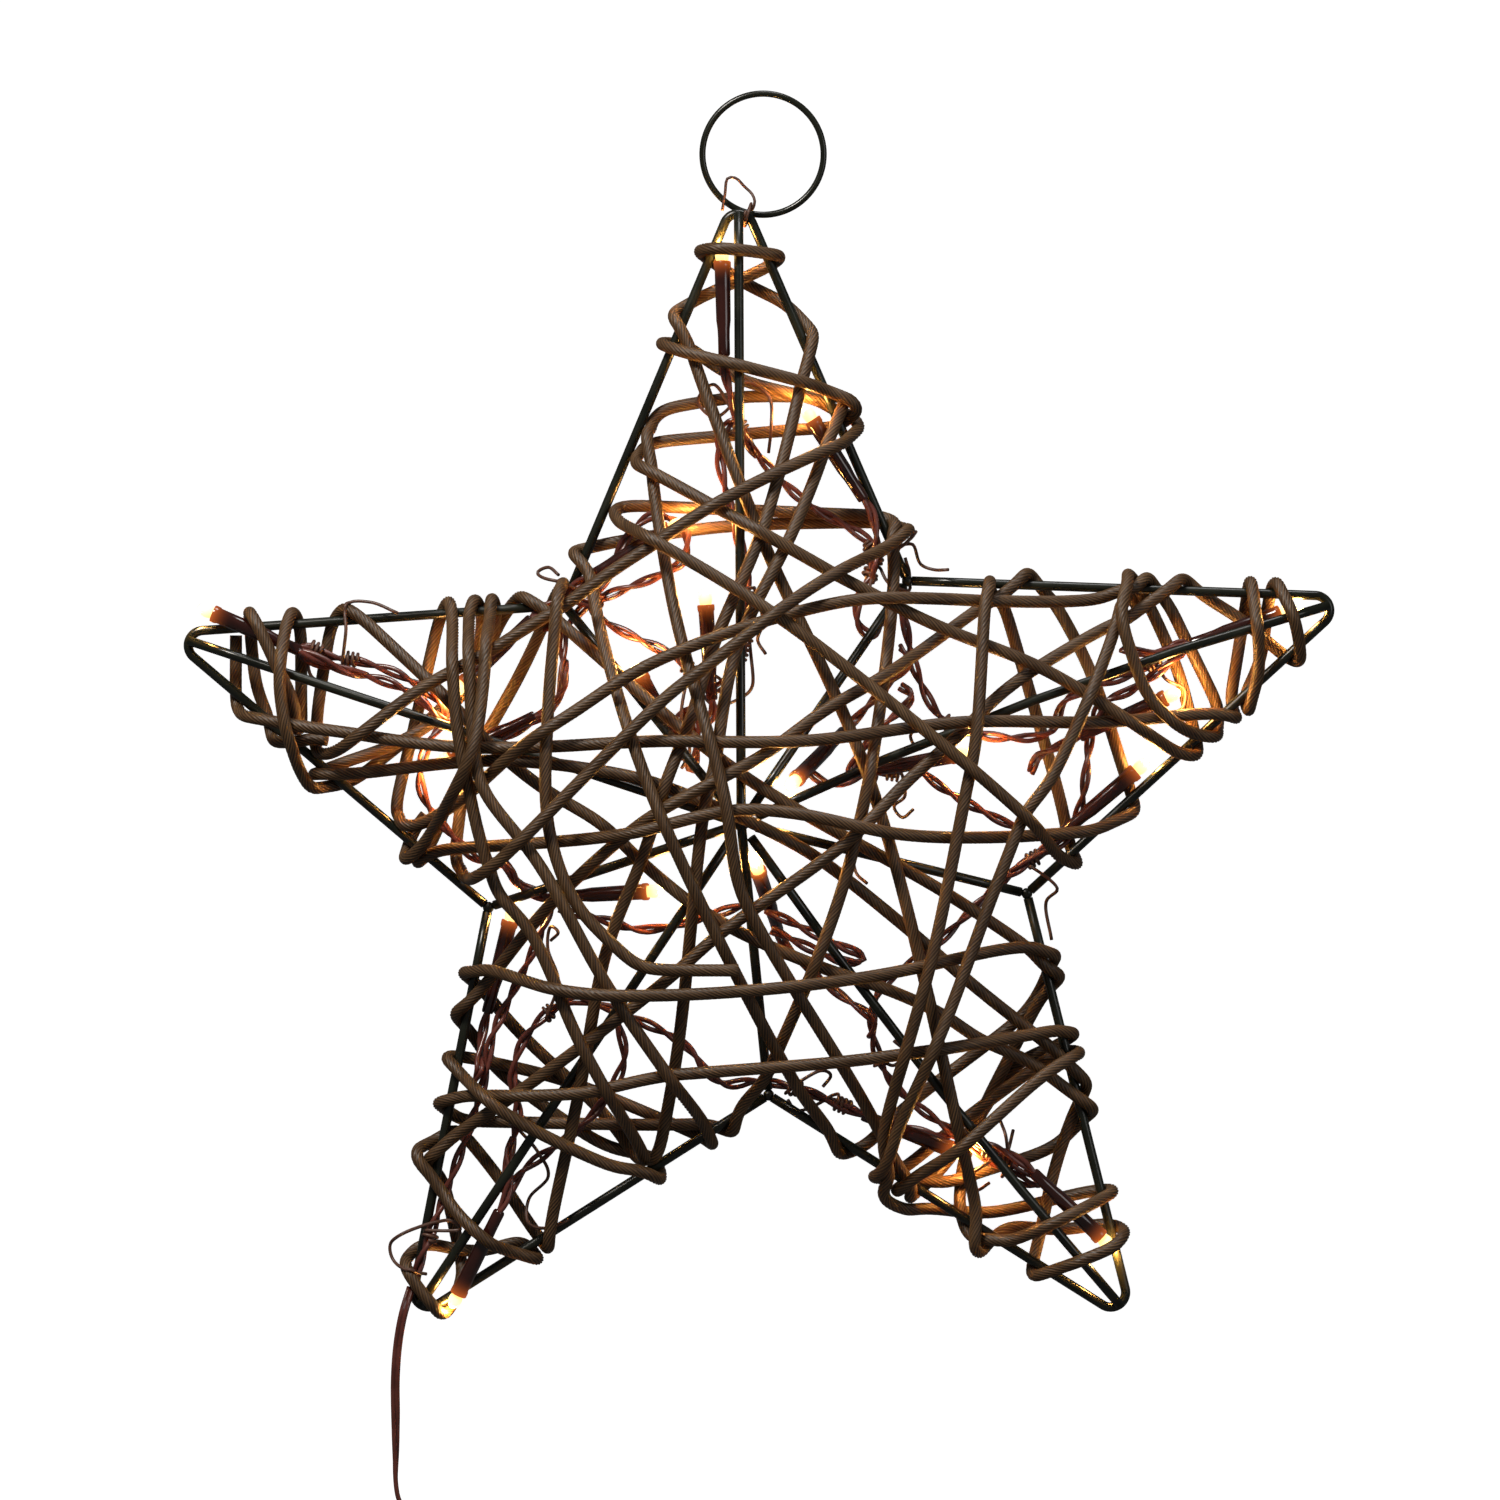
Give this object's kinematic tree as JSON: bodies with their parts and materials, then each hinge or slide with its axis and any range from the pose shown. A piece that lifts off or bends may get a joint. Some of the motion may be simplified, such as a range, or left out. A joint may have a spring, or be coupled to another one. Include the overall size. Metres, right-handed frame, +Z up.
{
  "type": "lighted star decoration",
  "caption": "Open five-pointed star of coated wire wound with round rattan strand, lit from inside by a lamp string, with a hanging ring and a supply lead",
  "frame": {"origin": "inside top of the hanging ring, where it rests on a hook", "axes": "+Z up, the lit front faces -Y, +X to the right seen from the front, metres"},
  "size_m": [0.4223, 0.0868, 0.6218],
  "materials": {
    "coated_wire": "satin plastic coat on steel wire",
    "rattan": "finely grooved, satin",
    "cable_coat": "smooth, slightly glossy",
    "holder_plastic": "glossy, slightly see-through",
    "lamp_glass": "clear, lit from inside",
    "plug_plastic": "fine satin"
  },
  "bodies": {
    "root": {"outline_top": "coated_wire", "outline_right": "coated_wire", "outline_lower_right": "coated_wire", "outline_lower_left": "coated_wire", "outline_left": "coated_wire", "spine_rib": "coated_wire", "rib_right": "coated_wire", "rib_lower_right": "coated_wire", "rib_lower_left": "coated_wire", "rib_left": "coated_wire", "short_rib_upper_right": "coated_wire", "short_rib_lower_right": "coated_wire", "short_rib_lower_left": "coated_wire", "short_rib_upper_left": "coated_wire", "hanging_ring": "coated_wire", "ring_tie": "cable_coat", "lamp_holder_01": "holder_plastic", "lamp_holder_02": "holder_plastic", "lamp_holder_03": "holder_plastic", "lamp_holder_04": "holder_plastic", "lamp_holder_05": "holder_plastic", "lamp_holder_06": "holder_plastic", "lamp_holder_07": "holder_plastic", "lamp_holder_08": "holder_plastic", "lamp_holder_09": "holder_plastic", "lamp_holder_10": "holder_plastic", "lamp_holder_11": "holder_plastic", "lamp_holder_12": "holder_plastic", "lamp_holder_13": "holder_plastic", "lamp_holder_14": "holder_plastic", "lamp_holder_15": "holder_plastic", "lamp_holder_16": "holder_plastic", "lamp_holder_17": "holder_plastic", "lamp_holder_18": "holder_plastic", "lamp_01": "lamp_glass", "lamp_02": "lamp_glass", "lamp_03": "lamp_glass", "lamp_04": "lamp_glass", "lamp_05": "lamp_glass", "lamp_06": "lamp_glass", "lamp_07": "lamp_glass", "lamp_08": "lamp_glass", "lamp_09": "lamp_glass", "lamp_10": "lamp_glass", "lamp_11": "lamp_glass", "lamp_12": "lamp_glass", "lamp_13": "lamp_glass", "lamp_14": "lamp_glass", "lamp_15": "lamp_glass", "lamp_16": "lamp_glass", "lamp_17": "lamp_glass", "lamp_18": "lamp_glass", "light_cable": "cable_coat", "supply_lead": "cable_coat", "lead_coil": "cable_coat", "plug": "plug_plastic", "rattan_strand_first": "rattan", "rattan_strand_second": "rattan", "rattan_strand_third": "rattan"}
  },
  "joints": []
}
